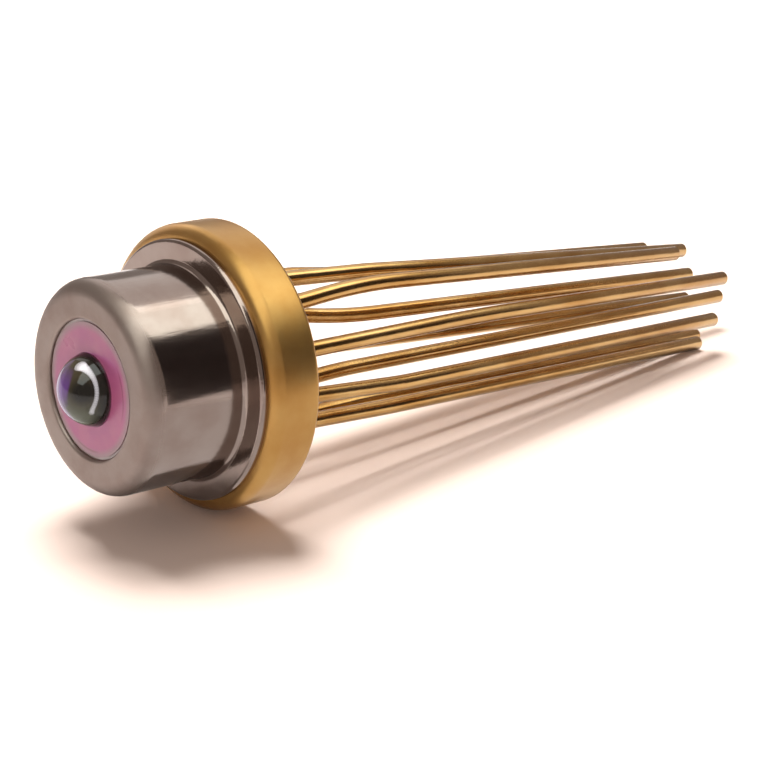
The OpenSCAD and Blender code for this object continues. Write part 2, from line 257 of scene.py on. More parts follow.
# Each lead, in millimetres: rise of its knee and tip, reach behind the stem, where the knee
# is, that bend's radius, and the straight stub. What is left out has the shared value below.
# A tip of None is worked out so that the lead touches the table. gather is how far the tip
# moves in sideways, as a share of the lead's own distance from the middle.
LEAD_SHAPES = {
    1: dict(knee=-0.15, tip=-0.7, reach=14.0, knee_at=5.5, knee_r=70.0),
    2: dict(knee=0.14, tip=-0.7, reach=12.5, knee_at=2.6, knee_r=14.0, stub=0.4),
    3: dict(knee=-0.18, tip=-1.1, reach=13.2),
    4: dict(knee=-0.15, tip=-0.75, reach=12.3, stub=2.1),
    5: dict(knee=-0.47, tip=-0.95, reach=14.3, knee_at=3.2, stub=1.5),
    6: dict(knee=-0.19, tip=-0.75, reach=14.6, gather=0.35),
    7: dict(knee=0.2, tip=0.1, reach=15.2),
    8: dict(knee=0.02, tip=-0.3, reach=14.0),
    9: dict(knee=-0.18, tip=None, reach=13.6),
    10: dict(knee=-0.27, tip=-0.75, reach=13.8),
}
KNEE_AT = 3.4
KNEE_R = 13.0
GATHER = 0.55
LOWEST_LEAD = 8
STEP = math.radians(36)
# along the bevel of a cut tip: share of the bevel that is left, and share of the radius
TIP_STEPS = ((1.0, 1.0), (0.45, 0.93), (0.12, 0.83), (0.0, 0.74))


def lead_name(k):
    return "lead_4_case" if k == CASE_LEAD else f"lead_{k}"


def lead_low():
    """Drop of the bottom lead's tip below the optical axis."""
    sizes = bpy.context.scene.leads
    return (sizes.circle_d + sizes.lead_d) / 2 - LEAD_SHAPES[LOWEST_LEAD]["tip"] * MM


def lean():
    """Lean of the optical axis once rim and bottom tips touch the table."""
    flange_r = bpy.context.scene.can.flange_d / 2
    reach = LEAD_SHAPES[LOWEST_LEAD]["reach"] * MM
    return math.atan((flange_r - lead_low()) / reach)


def placing():
    """Lays a piece drawn about local Z, from the stem's front plane, down in the row frame."""
    turn = Matrix.Rotation(math.pi / 2 - lean(), 4, "X")
    return turn @ Matrix.Translation((0, 0, bpy.context.scene.can.flange_t))


def on_ring(k):
    """Place of lead k on the lead circle."""
    sizes = bpy.context.scene.leads
    angle = sizes.turn + (k - 1) * STEP
    return Vector((math.cos(angle), math.sin(angle))) * sizes.circle_d / 2


# ---------------------------------------------------------------- mesh helpers


def arc(cx, cz, r, start, end, steps):
    """Points of a profile arc, angles in degrees."""
    span = [math.radians(start + (end - start) * i / steps) for i in range(steps + 1)]
    return [(cx + r * math.cos(a), cz + r * math.sin(a)) for a in span]


def joined(*runs):
    """One profile from several runs of points, without doubles."""
    points = []
    for run in runs:
        for p in run:
            if not points or math.dist(p, points[-1]) > 1e-8:
                points.append(p)
    if math.dist(points[0], points[-1]) < 1e-8:
        points.pop()
    return points


def divided(a, b, steps):
    """Straight run of a profile, in equal steps."""
    return [
        (a[0] + (b[0] - a[0]) * i / steps, a[1] + (b[1] - a[1]) * i / steps)
        for i in range(steps + 1)
    ]


def lathe(name, profile, sides, closed):
    """Spins a profile of (radius, height) about local Z. An open profile ends on the axis."""
    bm = bmesh.new()
    columns = []
    for i in range(sides):
        a = 2 * math.pi * i / sides
        columns.append(
            [bm.verts.new((r * math.cos(a), r * math.sin(a), z)) for r, z in profile]
        )
    rows = len(profile)
    last = rows if closed else rows - 1
    for i in range(sides):
        one, two = columns[i], columns[(i + 1) % sides]
        for j in range(last):
            k = (j + 1) % rows
            bm.faces.new((one[j], two[j], two[k], one[k]))
    bmesh.ops.remove_doubles(bm, verts=bm.verts, dist=1e-9)
    bmesh.ops.dissolve_degenerate(bm, edges=bm.edges, dist=1e-9)
    bmesh.ops.recalc_face_normals(bm, faces=bm.faces)
    mesh = bpy.data.meshes.new(name)
    bm.to_mesh(mesh)
    bm.free()
    return mesh


def add_piece(name, mesh, sharp=35.0):
    """Links a finished mesh as a piece and shades it smooth up to a sharp angle."""
    piece = bpy.data.objects.new(name, mesh)
    bpy.context.scene.collection.objects.link(piece)
    mesh.shade_smooth()
    mesh.set_sharp_from_angle(angle=math.radians(sharp))
    return piece


def settle(piece, material, slot, *nodes):
    """Gives a piece its material and its body, and hides the nodes that it stands for. The slot
    argument is not used.
    """
    piece.data.materials.clear()
    piece.data.materials.append(material)
    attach(piece, BODY)
    if nodes:
        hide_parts(*nodes)
    return piece


def cut_round_holes(piece, holes):
    """Cuts straight round holes: each is (x, y, low z, high z, radius)."""
    bm = bmesh.new()
    for x, y, low, high, r in holes:
        bmesh.ops.create_cone(
            bm,
            cap_ends=True,
            segments=64,
            radius1=r,
            radius2=r,
            depth=high - low,
            matrix=Matrix.Translation((x, y, (low + high) / 2)),
        )
    mesh = bpy.data.meshes.new("hole_cutter")
    bm.to_mesh(mesh)
    bm.free()
    cutter = bpy.data.objects.new("hole_cutter", mesh)
    bpy.context.scene.collection.objects.link(cutter)
    cut = piece.modifiers.new("holes", "BOOLEAN")
    cut.operation = "DIFFERENCE"
    cut.solver = "EXACT"
    cut.object = cutter
    graph = bpy.context.evaluated_depsgraph_get()
    result = bpy.data.meshes.new_from_object(piece.evaluated_get(graph))
    piece.modifiers.clear()
    piece.data = result
    bpy.data.objects.remove(cutter)


# ---------------------------------------------------------------- shader maths


class Val:
    """A socket that can be added, multiplied and compared like a number."""

    def __init__(self, kit, socket):
        self.kit, self.socket = kit, socket

    def maths(self, operation, *others):
        values = dict(enumerate((self, *others)))
        return self.kit.node("ShaderNodeMath", {"operation": operation}, values)

    def __add__(self, other):
        return self.maths("ADD", other)

    def __sub__(self, other):
        return self.maths("SUBTRACT", other)

    def __rsub__(self, other):
        return self.kit.node(
            "ShaderNodeMath", {"operation": "SUBTRACT"}, {0: other, 1: self}
        )

    def __mul__(self, other):
        return self.maths("MULTIPLY", other)

    __radd__, __rmul__ = __add__, __mul__

    def __truediv__(self, other):
        return self.maths("DIVIDE", other)

    def between(self, low, high):
        """0 below low, 1 above high, smooth between."""
        return self.kit.node(
            "ShaderNodeMapRange",
            {"interpolation_type": "SMOOTHSTEP"},
            {"Value": self, "From Min": low, "From Max": high},
        )


class Kit:
    """Builds one procedural material."""

    def __init__(self, name):
        self.material = bpy.data.materials.new(name)
        self.material.use_nodes = True
        self.tree = self.material.node_tree
        self.tree.nodes.clear()
        self.out = self.tree.nodes.new("ShaderNodeOutputMaterial")

    def node(self, kind, settings=None, values=None, output=0):
        made = self.tree.nodes.new(kind)
        for key, value in (settings or {}).items():
            setattr(made, key, value)
        for key, value in (values or {}).items():
            self.feed(made.inputs[key], value)
        return Val(self, made.outputs[output])

    def feed(self, socket, value):
        if isinstance(value, Val):
            self.tree.links.new(value.socket, socket)
        elif socket.type == "RGBA":
            socket.default_value = (*value[:3], 1.0)
        else:
            socket.default_value = value

    def points(self, scale=(1000.0, 1000.0, 1000.0)):
        """Object coordinates, turned so that local Z is the optical axis, here in millimetres."""
        place = self.node("ShaderNodeTexCoord", output=3)
        turned_points = self.node(
            "ShaderNodeMapping",
            {"vector_type": "POINT"},
            {"Vector": place, "Rotation": (lean() - math.pi / 2, 0.0, 0.0)},
        )
        return self.node(
            "ShaderNodeVectorMath",
            {"operation": "MULTIPLY"},
            {0: turned_points, 1: scale},
        )

    def axes(self, vector):
        made = self.tree.nodes.new("ShaderNodeSeparateXYZ")
        self.feed(made.inputs[0], vector)
        return [Val(self, s) for s in made.outputs]

    def grain(self, vector, scale, detail=3.0, rough=0.55):
        return self.node(
            "ShaderNodeTexNoise",
            {"noise_dimensions": "3D"},
            {"Vector": vector, "Scale": scale, "Detail": detail, "Roughness": rough},
        )

    def mix(self, factor, one, two):
        return self.node(
            "ShaderNodeMix",
            {"data_type": "RGBA"},
            {0: factor, 6: one, 7: two},
            output=2,
        )

    def bump(self, height, strength, distance):
        return self.node(
            "ShaderNodeBump",
            {},
            {"Height": height, "Strength": strength, "Distance": distance},
        )

    def surface(self, values):
        shader = self.node("ShaderNodeBsdfPrincipled", {}, values)
        self.feed(self.out.inputs["Surface"], shader)
        return self.material


def toned(colour, factors):
    """A colour with each channel multiplied."""
    return tuple(c * f for c, f in zip(colour, factors))


def stem_gold():
    """Satin gold plating with fine turning lines."""
    tones = bpy.context.scene.finish
    kit = Kit("gold_stem")
    place = kit.points()
    cloud = kit.grain(place, 0.9, 4.0)
    fine = kit.grain(place, 14.0, 3.0)
    lines = kit.grain(kit.points((900.0, 900.0, 26000.0)), 1.0, 2.0)
    colour = kit.mix(cloud.between(0.32, 0.72), tones.gold, tones.gold_deep)
    rough = tones.gold_rough + cloud * 0.10 + fine * 0.06
    relief = fine * 0.5 + lines * 0.5
    return kit.surface(
        {
            "Base Color": colour,
            "Metallic": 1.0,
            "Roughness": rough,
            "Normal": kit.bump(relief, 0.10, 0.00002),
        }
    )


def lead_gold():
    """Gold plating with streaks along the wire."""
    tones = bpy.context.scene.finish
    kit = Kit("gold_lead")
    streaks = kit.grain(kit.points((11000.0, 11000.0, 500.0)), 1.0, 3.0)
    cloud = kit.grain(kit.points((1500.0, 1500.0, 700.0)), 1.0, 3.0)
    colour = kit.mix(cloud.between(0.35, 0.75), tones.lead_gold, tones.gold_deep)
    rough = tones.lead_rough + streaks * 0.10
    return kit.surface(
        {
            "Base Color": colour,
            "Metallic": 1.0,
            "Roughness": rough,
            "Normal": kit.bump(streaks, 0.16, 0.00002),
        }
    )


def cap_nickel():
    """Nickel with a drawn, glossier wall and a satin front face."""
    tones = bpy.context.scene.finish
    sizes = bpy.context.scene.can
    kit = Kit("nickel_cap")
    place = kit.points()
    height = kit.axes(place)[2]
    front = (sizes.flange_t + sizes.cap_h) / MM
    face = height.between(front - 0.36, front - 0.10)
    streaks = kit.grain(kit.points((5200.0, 5200.0, 600.0)), 1.0, 4.0)
    cloud = kit.grain(place, 1.3, 4.0)
    fine = kit.grain(place, 22.0, 2.0)
    tarnish = toned(tones.nickel, (0.86, 0.80, 0.78))
    tone = kit.mix(cloud.between(0.3, 0.75), tones.nickel, tarnish)
    wall = tones.nickel_rough + streaks * 0.10
    flat = tones.face_rough + cloud * 0.12
    rough = wall * (1.0 - face) + flat * face
    relief = streaks * (1.0 - face) + fine * face * 0.5
    return kit.surface(
        {
            "Base Color": tone,
            "Metallic": 1.0,
            "Roughness": rough,
            "Normal": kit.bump(relief, 0.22, 0.00002),
        }
    )


def lens_glass():
    """Pink coated flat ring round a dark clear dome; the dome carries painted reflections, and
    dome and ring carry painted shade.
    """
    tones = bpy.context.scene.finish
    sizes = bpy.context.scene.glasswork
    kit = Kit("lens_glass")
    place = kit.points()
    x, y, _ = kit.axes(place)
    r = (x * x + y * y).maths("SQRT")
    edge = sizes.dome_d / 2 / MM
    ring = r.between(edge - 0.01, edge + 0.015)
    # Painted reflection: away from a dark pupil set off the dome's centre, the dome turns olive
    # above and greener below
    pupil_x, pupil_y = 0.42, 0.14
    dx, dy = x - pupil_x, y - pupil_y
    off = (dx * dx + dy * dy).maths("SQRT")
    dome_reflection = kit.mix(y.between(-0.45, 0.1), tones.glass_reflection_low, tones.glass_reflection_side)
    dome = kit.mix(off.between(0.10, 0.34), tones.glass, dome_reflection)
    # Painted shade: the dome turns back to dark glass in a ring round its foot
    dome = kit.mix(r.between(edge * 0.80, edge * 0.99), dome, tones.glass)
    cloud = kit.grain(place, 2.2, 3.0)
    paler = toned(tones.coating, (0.92, 0.84, 1.0))
    pink = kit.mix(cloud.between(0.3, 0.7), tones.coating, paler)
    # Painted shade: darker pink for the thin arcs below
    deep = toned(tones.coating, (0.55, 0.30, 0.45))

    def painted_shade_arc(turn, half, radius):
        """Painted shade arc on the coating: middle and half width in degrees, radius in
        millimetres.
        """
        turn, half = math.radians(turn), math.radians(half)
        facing = (x * math.cos(turn) + y * math.sin(turn)) / r
        off_line = (r - radius).maths("ABSOLUTE").between(0.008, 0.032)
        return facing.between(math.cos(half), math.cos(half * 0.3)) * (1.0 - off_line)

    # Painted shade: one arc low by the window edge and one on the right beside the dome
    pink = kit.mix(painted_shade_arc(-94, 21, 1.19), pink, deep)
    pink = kit.mix(painted_shade_arc(10, 32, 1.08) * 0.6, pink, deep)
    # The coating turns grey towards the window edge, which stands in for a wider rounded window
    # edge
    pink = kit.mix(r.between(1.10, 1.28), pink, tones.coating_rim_grey)
    colour = kit.mix(ring, dome, pink)
    rough = 0.05 + ring * (0.20 + cloud * 0.08)
    return kit.surface(
        {
            "Base Color": colour,
            "Roughness": rough,
            "IOR": 1.45,
            "Coat Weight": ring * 0.25,
            "Coat Roughness": 0.05,
        }
    )


def dark_glass(name, colour, rough):
    """Sealing glass with a fired skin."""
    kit = Kit(name)
    cloud = kit.grain(kit.points(), 6.0, 3.0)
    shade = tuple(c * 0.6 for c in colour)
    return kit.surface(
        {
            "Base Color": kit.mix(cloud, colour, shade),
            "Roughness": rough + cloud * 0.1,
            "Coat Weight": 0.6,
            "Coat Roughness": 0.08,
        }
    )


def plain_solid(name, colour, metallic, rough, scale=9.0):
    """Finish for the pieces inside the can."""
    kit = Kit(name)
    grains = kit.grain(kit.points(), scale, 4.0)
    shade = tuple(c * 0.8 for c in colour)
    return kit.surface(
        {
            "Base Color": kit.mix(grains.between(0.3, 0.7), colour, shade),
            "Metallic": metallic,
            "Roughness": rough + grains * 0.1,
            "Normal": kit.bump(grains, 0.1, 0.00001),
        }
    )


# ---------------------------------------------------------------- operators


class PieceOperator(bpy.types.Operator):
    """Shared settings of the operators that make pieces"""

    bl_options = {"REGISTER", "UNDO"}


class LASERDIODE_OT_stem(PieceOperator):
    """Turn the gold stem disc and drill it for its leads"""

    bl_idname = "laserdiode.stem"
    bl_label = "Stem"

    def execute(self, context):
        s = context.scene.can
        r, t = s.flange_d / 2, s.flange_t
        f, e = s.rim_front_r, s.rim_rear_r
        profile = joined(
            divided((0.0, 0.0), (r - f, 0.0), 12),
            arc(r - f, -f, f, 90, 0, 14),
            divided((r, -f), (r, e - t), 4),
            arc(r - e, e - t, e, 0, -90, 8),
            divided((r - e, -t), (0.0, -t), 12),
        )
        mesh = lathe("stem_disc", profile, 256, closed=False)
        piece = add_piece("stem_disc", mesh)
        holes = [
            (*on_ring(k), -t - 0.5 * MM, 0.5 * MM, s.bead_d / 2) for k in BEAD_LEADS
        ]
        case = (*on_ring(CASE_LEAD), -t - 0.5 * MM, s.socket - t)
        holes.append((*case, context.scene.leads.lead_d / 2))
        cut_round_holes(piece, holes)
        piece.data.transform(placing())
        piece.data.shade_smooth()
        piece.data.set_sharp_from_angle(angle=math.radians(35))
        settle(piece, stem_gold(), "gold_stem", "stem")
        return {"FINISHED"}


class LASERDIODE_OT_cap(PieceOperator):
    """Spin the drawn nickel cap with its weld lip and window"""

    bl_idname = "laserdiode.cap"
    bl_label = "Cap"

    def execute(self, context):
        s = context.scene.can
        outer, inner = s.cap_d / 2, s.cap_d / 2 - s.cap_wall
        lip, lip_t, f = s.lip_d / 2, s.lip_t, s.lip_fillet_r
        e, i = s.cap_edge_r, s.cap_edge_r - s.cap_wall
        h, w, we = s.cap_h, s.window_d / 2, s.window_edge_r
        profile = joined(
            divided((inner, 0.0), (lip, 0.0), 6),
            arc(lip - lip_t / 2, lip_t / 2, lip_t / 2, 0, 90, 8),
            arc(outer + f, lip_t + f, f, 270, 180, 12),
            divided((outer, lip_t + f), (outer, h - e), 8),
            arc(outer - e, h - e, e, 0, 90, 18),
            divided((outer - e, h), (w + we, h), 5),
            arc(w + we, h - we, we, 90, 180, 6),
            [(w, h - s.cap_wall)],
            divided((w, h - s.cap_wall), (inner - i, h - s.cap_wall), 4),
            arc(inner - i, h - s.cap_wall - i, i, 90, 0, 8),
            divided((inner, h - s.cap_wall - i), (inner, 0.0), 4),
        )
        mesh = lathe("cap_shell", profile, 256, closed=True)
        mesh.transform(placing())
        settle(add_piece("cap_shell", mesh), cap_nickel(), "nickel_cap", "cap")
        return {"FINISHED"}


class LASERDIODE_OT_lens(PieceOperator):
    """Turn the moulded lens and the ring of sealing glass"""

    bl_idname = "laserdiode.lens"
    bl_label = "Lens"

    def execute(self, context):
        c, s = context.scene.can, context.scene.glasswork
        rim = c.window_d / 2 - s.seal_gap
        top = c.cap_h - s.lens_sink
        shoulder = c.window_d / 2 + s.shoulder_w
        high = c.cap_h - c.cap_wall - s.seal_gap
        low = high - s.shoulder_t
        a, h = s.dome_d / 2, s.dome_h
        ball = (a * a + h * h) / (2 * h)
        half = math.degrees(math.asin(a / ball))
        if h > ball:
            half = 180 - half
        b, g = s.rear_dome_d / 2, s.rear_dome_h
        rear = (b * b + g * g) / (2 * g)
        rear_half = math.degrees(math.asin(b / rear))
        profile = joined(
            divided((0.0, top), (rim, top), 14),
            [(rim, high), (shoulder, high), (shoulder, low)],
            divided((shoulder, low), (b, low), 3),
            arc(0.0, low - g + rear, rear, -90 + rear_half, -90, 20),
        )
        mesh = lathe("lens_body", profile, 192, closed=False)
        mesh.transform(placing())
        glass = lens_glass()
        settle(add_piece("lens_body", mesh), glass, "lens_glass", "lens")
        profile = joined(
            arc(0.0, top + h - ball, ball, 90, 90 - half, 40),
            [(a, top), (0.0, top)],
        )
        mesh = lathe("lens_dome", profile, 192, closed=False)
        mesh.transform(placing())
        settle(add_piece("lens_dome", mesh), glass, "lens_glass", "lens")
        tones = context.scene.finish
        gap = s.seal_gap
        seal = joined(
            [
                (rim, high),
                (shoulder, high),
                (shoulder, high + gap),
                (rim + gap, high + gap),
                (rim + gap, top - gap / 2),
            ],
            arc(rim + gap, top + gap * 0.3, gap * 0.8, 270, 200, 6),
        )
        seal = [(max(p, rim), min(q, top - gap / 2)) for p, q in seal]
        seal = joined(seal, [(rim, top - gap / 2)])
        mesh = lathe("seal_ring", seal, 192, closed=True)
        mesh.transform(placing())
        glass = dark_glass("seal_glass", tones.seal, 0.25)
        settle(add_piece("seal_ring", mesh), glass, "seal_glass", "lens_seal")
        return {"FINISHED"}


def lead_route(k):
    """Corners of lead k's centre line, in the row frame, and the bend radii at the inner ones."""
    can, sizes = bpy.context.scene.can, bpy.context.scene.leads
    shape = LEAD_SHAPES[k]
    reach = shape["reach"] * MM
    knee_at = shape.get("knee_at", KNEE_AT) * MM
    gather = shape.get("gather", GATHER)
    at = on_ring(k)
    t = can.flange_t
    if shape["tip"] is None:
        low = can.flange_d / 2 - reach * math.tan(lean()) - sizes.lead_d / 2
        tip = -low - at.y
    else:
        tip = shape["tip"] * MM
    stub = shape["stub"] * MM if "stub" in shape else sizes.stub
    top = can.socket - t if k == CASE_LEAD else sizes.post_h
    slip = 1 - gather * knee_at / reach
    corners = [
        Vector((at.x, at.y, top)),
        Vector((at.x, at.y, -t - stub)),
        Vector((at.x * slip, at.y + shape["knee"] * MM, -t - knee_at)),
        Vector((at.x * (1 - gather), at.y + tip, -t - reach)),
    ]
    lay = placing()
    return [lay @ c for c in corners], [sizes.bend_r, shape.get("knee_r", KNEE_R) * MM]


def rounded_route(corners, radii, turns=10):
    """The route as points, with an arc at each inner corner."""
    points = [corners[0]]
    for before, at, after, radius in zip(corners, corners[1:], corners[2:], radii):
        u, v = (at - before).normalized(), (after - at).normalized()
        angle = u.angle(v)
        if angle < 1e-4:
            points.append(at)
            continue
        back = radius * math.tan(angle / 2)
        start = at - u * back
        inward = (v - u * u.dot(v)).normalized()
        centre = start + inward * radius
        for i in range(turns + 1):
            a = angle * i / turns
            points.append(centre - inward * radius * math.cos(a) + u * radius * math.sin(a))
    points.append(corners[-1])
    return points


def tube_tree(material):
    """Geometry Nodes tree that gives a line a round section, closed ends and a material."""
    tree = bpy.data.node_groups.new("lead_tube", "GeometryNodeTree")
    face = tree.interface
    face.new_socket("Geometry", in_out="INPUT", socket_type="NodeSocketGeometry")
    face.new_socket("Radius", in_out="INPUT", socket_type="NodeSocketFloat")
    face.new_socket("Sides", in_out="INPUT", socket_type="NodeSocketInt")
    face.new_socket("Geometry", in_out="OUTPUT", socket_type="NodeSocketGeometry")
    new, link = tree.nodes.new, tree.links.new
    came, out = new("NodeGroupInput"), new("NodeGroupOutput")
    circle = new("GeometryNodeCurvePrimitiveCircle")
    sweep = new("GeometryNodeCurveToMesh")
    whole = new("GeometryNodeRealizeInstances")
    coat = new("GeometryNodeSetMaterial")
    coat.inputs["Material"].default_value = material
    sweep.inputs["Fill Caps"].default_value = True
    link(came.outputs["Radius"], circle.inputs["Radius"])
    link(came.outputs["Sides"], circle.inputs["Resolution"])
    link(came.outputs["Geometry"], sweep.inputs["Curve"])
    link(circle.outputs["Curve"], sweep.inputs["Profile Curve"])
    if "Scale" in sweep.inputs:
        size = new("GeometryNodeInputRadius")
        link(size.outputs[0], sweep.inputs["Scale"])
    link(sweep.outputs["Mesh"], whole.inputs[0])
    link(whole.outputs[0], coat.inputs["Geometry"])
    link(coat.outputs[0], out.inputs[0])
    return tree


class LASERDIODE_OT_leads(PieceOperator):
    """Draw the ten gold leads along their bent routes"""

    bl_idname = "laserdiode.leads"
    bl_label = "Leads"

    def execute(self, context):
        sizes = context.scene.leads
        material = lead_gold()
        tree = tube_tree(material)
        inputs = {
            s.name: s.identifier
            for s in tree.interface.items_tree
            if s.in_out == "INPUT"
        }
        radius, bevel = sizes.lead_d / 2, sizes.tip_bevel
        for k in LEAD_SHAPES:
            route = rounded_route(*lead_route(k))
            end = route[-1]
            along = (end - route[-2]).normalized()
            tip = [(end - along * bevel * left, scale) for left, scale in TIP_STEPS]
            points = [(p, 1.0) for p in route[:-1]] + tip
            curve = bpy.data.curves.new(f"route_{k}", "CURVE")
            curve.dimensions = "3D"
            spline = curve.splines.new("POLY")
            spline.points.add(len(points) - 1)
            for slot, (p, scale) in zip(spline.points, points):
                slot.co = (*p, 1.0)
                slot.radius = scale
            line = bpy.data.objects.new(f"route_{k}", curve)
            context.scene.collection.objects.link(line)
            swept = line.modifiers.new("tube", "NODES")
            swept.node_group = tree
            swept[inputs["Radius"]] = radius
            swept[inputs["Sides"]] = sizes.rings
            graph = context.evaluated_depsgraph_get()
            mesh = bpy.data.meshes.new_from_object(line.evaluated_get(graph))
            bpy.data.objects.remove(line)
            mesh.name = f"gold_lead_{k}"
            piece = add_piece(f"gold_lead_{k}", mesh, 50.0)
            settle(piece, material, "gold_lead", lead_name(k))
        return {"FINISHED"}


class LASERDIODE_OT_beads(PieceOperator):
    """Fill each lead hole with glass that dips between lead and stem"""

    bl_idname = "laserdiode.beads"
    bl_label = "Glass beads"

    def execute(self, context):
        can, sizes = context.scene.can, context.scene.leads
        glass = dark_glass("bead_glass", context.scene.finish.bead, 0.12)
        inner, outer, t = sizes.lead_d / 2, can.bead_d / 2, can.flange_t
        dip, steps = 0.05 * MM, 12
        rear = [
            (
                inner + (outer - inner) * i / steps,
                -t + dip * math.sin(math.pi * i / steps) ** 0.6,
            )
            for i in range(steps + 1)
        ]
        front = [(r, -t - z) for r, z in reversed(rear)]
        profile = joined(rear, front)
        for k in BEAD_LEADS:
            mesh = lathe(f"bead_{k}", profile, 48, closed=True)
            x, y = on_ring(k)
            mesh.transform(placing() @ Matrix.Translation((x, y, 0)))
            piece = add_piece(f"bead_{k}", mesh)
            settle(piece, glass, "bead_glass", f"glass_bead_{k}")
        return {"FINISHED"}


class LASERDIODE_OT_inside(PieceOperator):
    """Give the cooler, chips and wires inside the can their finishes"""

    bl_idname = "laserdiode.inside"
    bl_label = "Inside the can"

    def execute(self, context):
        ceramic = plain_solid("white_ceramic", (0.82, 0.81, 0.77), 0.0, 0.5)
        block = plain_solid("block_gold", (0.80, 0.56, 0.25), 1.0, 0.25)
        submount = plain_solid("submount_ceramic", (0.7, 0.69, 0.64), 0.0, 0.4)
        chip = plain_solid("chip_dark", (0.05, 0.05, 0.07), 0.6, 0.12)
        diode = plain_solid("photodiode_dark", (0.03, 0.03, 0.07), 0.5, 0.1)
        thermistor = plain_solid("thermistor_body", (0.05, 0.04, 0.03), 0.0, 0.5)
        wire = plain_solid("wire_gold", (0.86, 0.62, 0.28), 1.0, 0.2)
        finishes = {
            "cooler_hot_plate": ceramic,
            "cooler_cold_plate": ceramic,
            "heat_sink_block": block,
            "submount": submount,
            "laser_chip": chip,
            "monitor_photodiode": diode,
            "thermistor": thermistor,
        }
        finishes.update({f"bond_wire_{k}": wire for k in BEAD_LEADS})
        for node, material in finishes.items():
            for slot in frame["nodes"][node].material_slots:
                slot.material = material
        return {"FINISHED"}


def card(name, size, at, towards, colour, glow=0.0):
    """A flat studio card for reflections alone. With a glow it is black and shines."""
    bm = bmesh.new()
    bmesh.ops.create_grid(bm, x_segments=1, y_segments=1, size=0.5)
    mesh = bpy.data.meshes.new(name)
    bm.to_mesh(mesh)
    bm.free()
    made = bpy.data.objects.new(name, mesh)
    bpy.context.scene.collection.objects.link(made)
    made.scale = (size[0], size[1], 1.0)
    made.location = at
    way = (Vector(towards) - Vector(at)).normalized()
    made.rotation_euler = way.to_track_quat("Z", "Y").to_euler()
    kit = Kit(name)
    kit.surface(
        {
            "Base Color": (0.0, 0.0, 0.0) if glow else colour,
            "Roughness": 1.0,
            "Emission Color": colour,
            "Emission Strength": glow,
        }
    )
    mesh.materials.append(kit.material)
    made.visible_camera = made.visible_diffuse = made.visible_shadow = False
    return made


def shine_on(light, pieces):
    """Keeps a lamp for the gloss of these pieces only."""
    only = bpy.data.collections.new(f"lit_by_{light.name}")
    for piece in pieces:
        only.objects.link(piece)
    light.light_linking.receiver_collection = only
    light.visible_diffuse = False


def lamp(name, size, at, towards, level, colour):
    """A soft box. Its level is how bright a mirror shows it, with white paper at 1."""
    data = bpy.data.lights.new(name, "AREA")
    data.shape = "RECTANGLE"
    data.size, data.size_y = size
    data.energy = level * math.pi * size[0] * size[1]
    data.color = colour
    made = bpy.data.objects.new(name, data)
    bpy.context.scene.collection.objects.link(made)
    made.location = at
    way = (Vector(towards) - Vector(at)).normalized()
    made.rotation_euler = way.to_track_quat("-Z", "Y").to_euler()
    made.visible_camera = False
    return made


def floor_pale(tint, shade):
    """Pale matt floor, in the shade's colour for the camera, with a slight glow of its own."""
    kit = Kit("floor_pale")
    path = kit.tree.nodes.new("ShaderNodeLightPath").outputs
    direct = Val(kit, path["Is Camera Ray"])
    seen = direct.maths("MAXIMUM", Val(kit, path["Is Glossy Ray"]))
    seen = seen.maths("MAXIMUM", Val(kit, path["Is Transmission Ray"]))
    colour = kit.mix(direct, tint, shade)
    matt = kit.node("ShaderNodeBsdfDiffuse", {}, {"Color": colour})
    white = {"Color": (1.0, 1.0, 1.0), "Strength": seen * FLOOR_LIFT}
    glow = kit.node("ShaderNodeEmission", {}, white)
    both = kit.node("ShaderNodeAddShader", {}, {0: matt, 1: glow})
    kit.feed(kit.out.inputs["Surface"], both)
    return kit.material


